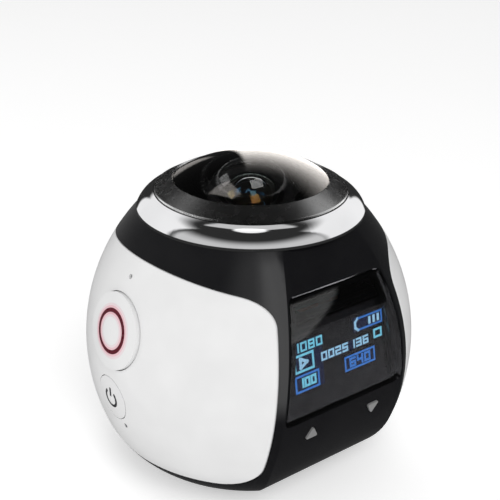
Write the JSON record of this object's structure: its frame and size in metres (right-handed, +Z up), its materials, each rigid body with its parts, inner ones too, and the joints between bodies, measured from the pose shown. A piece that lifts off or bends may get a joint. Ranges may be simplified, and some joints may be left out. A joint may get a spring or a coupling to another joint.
{
  "type": "360 degree camera",
  "caption": "Ball-shaped action camera with a dome fisheye lens on top, a small front display, side buttons, a hinged port door and a flat base with a tripod thread.",
  "frame": {"origin": "on the table under the middle of the base, at the foot ring's underside", "axes": "+Z up through the lens, the display faces -Y, the shutter button faces -X"},
  "size_m": [0.0605, 0.0536, 0.0575],
  "materials": {
    "black_shell": "polished moulded black",
    "white_cover": "satin gloss moulded white",
    "black_base": "fine matt",
    "foot_rubber": "smooth",
    "brass_nut": "turned",
    "dark_steel": "blackened",
    "grey_chassis": "moulded",
    "battery_wrap": "shrink wrap",
    "board": "solder mask",
    "shield_can": "tinned",
    "sensor_die": "cover glass",
    "filter_glass": "coated",
    "flex": "polyimide film",
    "lens_glass": "coated optical glass",
    "inner_glass": "coated optical glass",
    "barrel_black": "matt, fine ribs",
    "bezel_black": "semi-gloss",
    "chrome_ring": "mirror polished",
    "window_glass": "smoked, hard coated",
    "display": "lit display",
    "key_plastic": "light grey",
    "switch_metal": "tinned",
    "button_white": "satin gloss",
    "ring_light": "translucent red",
    "power_white": "satin gloss with a printed sign",
    "light_pipe": "frosted",
    "speaker_black": "plain",
    "door_black": "polished moulded black",
    "socket_metal": "nickel plated"
  },
  "bodies": {
    "camera_body": {"centre_housing": "black_shell", "left_cover": "white_cover", "right_cover": "white_cover", "base_plate": "black_base", "foot_ring": "foot_rubber", "tripod_nut": "brass_nut", "base_screws": "dark_steel", "inner_frame": "grey_chassis", "battery": "battery_wrap", "main_board": "board", "board_screws": "dark_steel", "processor_shield": "shield_can", "standoffs": "brass_nut", "sensor_board": "board", "image_sensor": "sensor_die", "ir_filter": "filter_glass", "lens_mount": "grey_chassis", "sensor_flex": "flex", "front_lens": "lens_glass", "second_lens": "inner_glass", "rear_lens_group": "inner_glass", "lens_barrel": "barrel_black", "lens_seal": "foot_rubber", "lens_bezel": "bezel_black", "chrome_ring": "chrome_ring", "display_window": "window_glass", "display_module": "display", "display_bracket": "grey_chassis", "display_flex": "flex", "key_board": "board", "key_switches": "switch_metal", "side_board": "board", "side_switches": "switch_metal", "status_led": "light_pipe", "microphone": "switch_metal", "speaker": "speaker_black", "wifi_antenna": "flex", "door_pin": "dark_steel", "usb_socket": "socket_metal", "hdmi_socket": "socket_metal", "card_socket": "socket_metal"},
    "shutter_button": {"shutter_button": "button_white", "shutter_ring": "ring_light"},
    "power_button": {"power_button": "power_white"},
    "up_key": {"up_key": "key_plastic"},
    "down_key": {"down_key": "key_plastic"},
    "port_door": {"port_door": "door_black"}
  },
  "joints": [
    {"name": "shutter_press", "type": "slide", "parent": "camera_body", "child": "shutter_button", "axis": [0.9675, 0, -0.2527], "range_m": [0, 0.0005], "stiffness_N_per_m": 1200, "springref_m": -0.0004},
    {"name": "power_press", "type": "slide", "parent": "camera_body", "child": "power_button", "axis": [0.9954, 0, 0.0962], "range_m": [0, 0.0004], "stiffness_N_per_m": 1000, "springref_m": -0.0004},
    {"name": "up_key_press", "type": "slide", "parent": "camera_body", "child": "up_key", "axis": [0, 0.9798, 0.2], "range_m": [0, 0.0003], "stiffness_N_per_m": 600, "springref_m": -0.0003},
    {"name": "down_key_press", "type": "slide", "parent": "camera_body", "child": "down_key", "axis": [0, 0.9798, 0.2], "range_m": [0, 0.0003], "stiffness_N_per_m": 600, "springref_m": -0.0003},
    {"name": "port_door_hinge", "type": "hinge", "parent": "camera_body", "child": "port_door", "pos_m": [0, 0.02523, 0.0182], "axis": [-1, 0, 0], "range_deg": [0, 90]}
  ]
}
